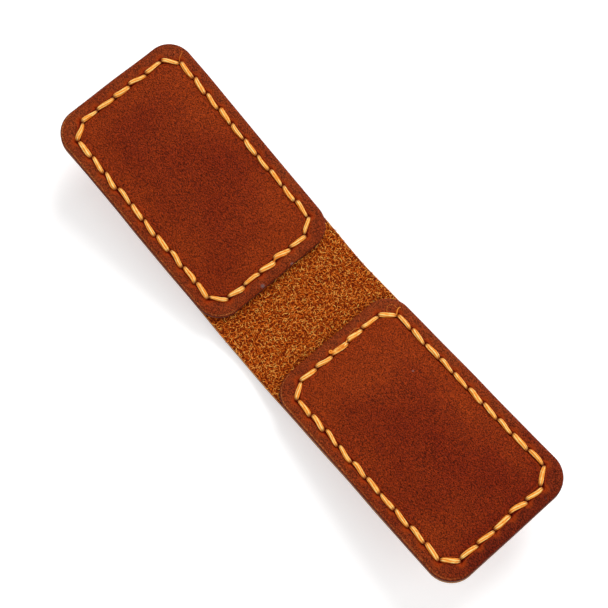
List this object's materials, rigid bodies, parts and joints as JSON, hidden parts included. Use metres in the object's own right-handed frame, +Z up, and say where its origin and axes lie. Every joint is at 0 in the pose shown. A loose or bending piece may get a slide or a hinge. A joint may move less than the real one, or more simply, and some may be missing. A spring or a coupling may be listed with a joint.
{
  "type": "magnetic leather clip",
  "caption": "Folding magnetic leather clip: a strap with a soft fold band and two saddle-stitched pads that close face to face.",
  "frame": {"origin": "point under the middle of the fold band, where the open clip touches the table", "axes": "+X along the strap towards pad b, +Y across the strap, +Z up, away from the table"},
  "size_m": [0.1174, 0.0314, 0.0138],
  "materials": {
    "strap_leather": "vegetable-tanned leather, suede flesh side inwards and smooth grain outwards",
    "patch_leather": "red-brown pull-up grain leather, burnished edges",
    "waxed_thread": "golden orange waxed braided thread",
    "board": "matt grey pulp board",
    "nickel": "satin nickel plating"
  },
  "bodies": {
    "band_middle": {"strap_middle": "strap_leather"},
    "band_a": {"strap_fold_a_1": "strap_leather"},
    "band_b": {"strap_fold_b_1": "strap_leather"},
    "pad_a": {"strap_end_a": "strap_leather", "patch_a": "patch_leather", "thread_a": "waxed_thread", "magnet_board_a": "board", "magnet_a_1": "nickel", "magnet_a_2": "nickel", "magnet_a_3": "nickel"},
    "pad_b": {"strap_end_b": "strap_leather", "patch_b": "patch_leather", "thread_b": "waxed_thread", "magnet_board_b": "board", "magnet_b_1": "nickel", "magnet_b_2": "nickel", "magnet_b_3": "nickel"}
  },
  "joints": [
    {"name": "fold_b_1", "type": "hinge", "parent": "band_middle", "child": "band_b", "pos_m": [0.00145, 0, 0.0008], "axis": [0, -1, 0], "range_deg": [-5.3, 39.7]},
    {"name": "fold_b_2", "type": "hinge", "parent": "band_b", "child": "pad_b", "pos_m": [0.00434, 0, 0.00107], "axis": [0, -1, 0], "range_deg": [-5.3, 39.7]},
    {"name": "fold_a_1", "type": "hinge", "parent": "band_middle", "child": "band_a", "pos_m": [-0.00145, 0, 0.0008], "axis": [0, 1, 0], "range_deg": [-5.3, 39.7]},
    {"name": "fold_a_2", "type": "hinge", "parent": "band_a", "child": "pad_a", "pos_m": [-0.00434, 0, 0.00107], "axis": [0, 1, 0], "range_deg": [-5.3, 39.7]}
  ],
  "couplings": [
    {"joint": "fold_b_2", "follows": "fold_b_1", "ratio": 1},
    {"joint": "fold_a_1", "follows": "fold_b_1", "ratio": 1},
    {"joint": "fold_a_2", "follows": "fold_b_1", "ratio": 1}
  ]
}
